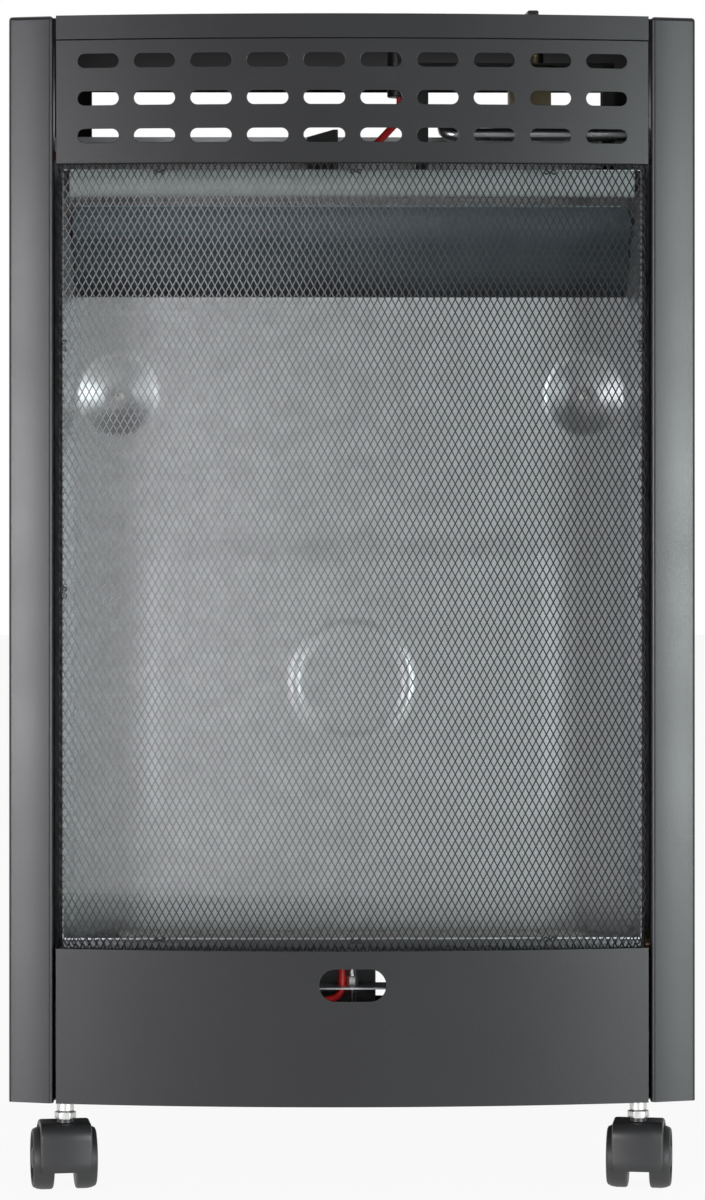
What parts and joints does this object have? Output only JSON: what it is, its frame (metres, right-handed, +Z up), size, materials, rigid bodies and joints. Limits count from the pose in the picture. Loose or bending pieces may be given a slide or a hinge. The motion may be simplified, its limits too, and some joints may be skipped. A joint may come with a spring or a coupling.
{
  "type": "portable gas cabinet heater",
  "caption": "Upright gas heater: folded steel cabinet on swivel casters, expanded-metal guard over a reflector, bottle bay behind",
  "frame": {"origin": "centre of the overall box's footprint, on the floor under the wheels", "axes": "+X to the viewer's right when facing the guard, -Y out of the front, +Z up"},
  "size_m": [0.435, 0.42, 0.7592],
  "materials": {
    "cabinet_paint": "dark grey fine-textured satin powder coat",
    "guard_enamel": "semi-gloss black enamel",
    "galvanised": "galvanised sheet, faint grain",
    "heat_darkened": "galvanised sheet",
    "burner_steel": "aluminised steel",
    "brass": "turned brass",
    "steel": "turned steel",
    "aluminium_pipe": "drawn tube",
    "copper": "copper",
    "ceramic": "white glazed ceramic",
    "silicone": "red silicone sleeve",
    "black_plastic": "moulded black",
    "button_plastic": "moulded red",
    "zinc": "zinc plated",
    "caster_plastic": "moulded black nylon",
    "wheel_plastic": "moulded black nylon"
  },
  "bodies": {
    "cabinet": {"left_side_panel": "cabinet_paint", "right_side_panel": "cabinet_paint", "top_panel": "cabinet_paint", "upper_front_panel": "cabinet_paint", "lower_front_panel": "cabinet_paint", "base_plate": "cabinet_paint", "valve_bracket": "cabinet_paint", "guard_mesh": "guard_enamel", "guard_clips": "guard_enamel", "reflector_tray": "galvanised", "upper_baffle": "galvanised", "bay_wall": "galvanised", "burner_saddles": "galvanised", "pilot_bracket": "galvanised", "pilot_nut": "galvanised", "igniter_nut": "galvanised", "deflector_hood": "heat_darkened", "burner_tube": "burner_steel", "venturi": "burner_steel", "pilot_burner": "burner_steel", "injector": "brass", "gas_valve": "brass", "hose_nozzle": "brass", "pipe_unions": "brass", "main_gas_pipe": "aluminium_pipe", "pilot_tube": "aluminium_pipe", "thermocouple": "copper", "thermocouple_lead": "copper", "spark_electrode": "ceramic", "ignition_lead": "silicone", "igniter_body": "black_plastic", "lead_clip": "black_plastic", "reflector_screws": "zinc", "cabinet_screws": "zinc", "caster_stems": "zinc"},
    "plunger": {"valve_plunger": "steel"},
    "knob": {"valve_spindle": "steel", "control_knob": "black_plastic"},
    "igniter_button": {"igniter_button": "button_plastic"},
    "rear_cover": {"rear_cover": "cabinet_paint"},
    "caster_front_left": {"caster_fork_front_left": "caster_plastic", "caster_axle_front_left": "zinc"},
    "wheel_front_left_a": {"wheel_front_left_a": "wheel_plastic"},
    "wheel_front_left_b": {"wheel_front_left_b": "wheel_plastic"},
    "caster_front_right": {"caster_fork_front_right": "caster_plastic", "caster_axle_front_right": "zinc"},
    "wheel_front_right_a": {"wheel_front_right_a": "wheel_plastic"},
    "wheel_front_right_b": {"wheel_front_right_b": "wheel_plastic"},
    "caster_rear_left": {"caster_fork_rear_left": "caster_plastic", "caster_axle_rear_left": "zinc"},
    "wheel_rear_left_a": {"wheel_rear_left_a": "wheel_plastic"},
    "wheel_rear_left_b": {"wheel_rear_left_b": "wheel_plastic"},
    "caster_rear_right": {"caster_fork_rear_right": "caster_plastic", "caster_axle_rear_right": "zinc"},
    "wheel_rear_right_a": {"wheel_rear_right_a": "wheel_plastic"},
    "wheel_rear_right_b": {"wheel_rear_right_b": "wheel_plastic"}
  },
  "joints": [
    {"name": "knob_push", "type": "slide", "parent": "cabinet", "child": "plunger", "axis": [0, 0, -1], "range_m": [0, 0.003], "stiffness_N_per_m": 800, "springref_m": -0.003},
    {"name": "knob_turn", "type": "hinge", "parent": "plunger", "child": "knob", "pos_m": [0.118, -0.112, 0.756], "axis": [0, 0, 1], "range_deg": [0, 210]},
    {"name": "igniter_push", "type": "slide", "parent": "cabinet", "child": "igniter_button", "axis": [0, 0, -1], "range_m": [0, 0.0035], "stiffness_N_per_m": 600, "springref_m": -0.004},
    {"name": "cover_lift_off", "type": "slide", "parent": "cabinet", "child": "rear_cover", "axis": [0, 1, 0], "range_m": [0, 0.35]},
    {"name": "swivel_front_left", "type": "hinge", "parent": "cabinet", "child": "caster_front_left", "pos_m": [-0.183, -0.168, 0.045], "axis": [0, 0, 1], "continuous": true},
    {"name": "roll_front_left_a", "type": "hinge", "parent": "caster_front_left", "child": "wheel_front_left_a", "pos_m": [-0.18481, -0.15513, 0.02], "axis": [0.9903, 0.1392, 0], "continuous": true},
    {"name": "roll_front_left_b", "type": "hinge", "parent": "caster_front_left", "child": "wheel_front_left_b", "pos_m": [-0.18481, -0.15513, 0.02], "axis": [0.9903, 0.1392, 0], "continuous": true},
    {"name": "swivel_front_right", "type": "hinge", "parent": "cabinet", "child": "caster_front_right", "pos_m": [0.183, -0.168, 0.045], "axis": [0, 0, 1], "continuous": true},
    {"name": "roll_front_right_a", "type": "hinge", "parent": "caster_front_right", "child": "wheel_front_right_a", "pos_m": [0.18481, -0.15513, 0.02], "axis": [0.9903, -0.1392, 0], "continuous": true},
    {"name": "roll_front_right_b", "type": "hinge", "parent": "caster_front_right", "child": "wheel_front_right_b", "pos_m": [0.18481, -0.15513, 0.02], "axis": [0.9903, -0.1392, 0], "continuous": true},
    {"name": "swivel_rear_left", "type": "hinge", "parent": "cabinet", "child": "caster_rear_left", "pos_m": [-0.183, 0.165, 0.045], "axis": [0, 0, 1], "continuous": true},
    {"name": "roll_rear_left_a", "type": "hinge", "parent": "caster_rear_left", "child": "wheel_rear_left_a", "pos_m": [-0.18481, 0.17787, 0.02], "axis": [0.9903, 0.1392, 0], "continuous": true},
    {"name": "roll_rear_left_b", "type": "hinge", "parent": "caster_rear_left", "child": "wheel_rear_left_b", "pos_m": [-0.18481, 0.17787, 0.02], "axis": [0.9903, 0.1392, 0], "continuous": true},
    {"name": "swivel_rear_right", "type": "hinge", "parent": "cabinet", "child": "caster_rear_right", "pos_m": [0.183, 0.165, 0.045], "axis": [0, 0, 1], "continuous": true},
    {"name": "roll_rear_right_a", "type": "hinge", "parent": "caster_rear_right", "child": "wheel_rear_right_a", "pos_m": [0.18481, 0.17787, 0.02], "axis": [0.9903, -0.1392, 0], "continuous": true},
    {"name": "roll_rear_right_b", "type": "hinge", "parent": "caster_rear_right", "child": "wheel_rear_right_b", "pos_m": [0.18481, 0.17787, 0.02], "axis": [0.9903, -0.1392, 0], "continuous": true}
  ]
}
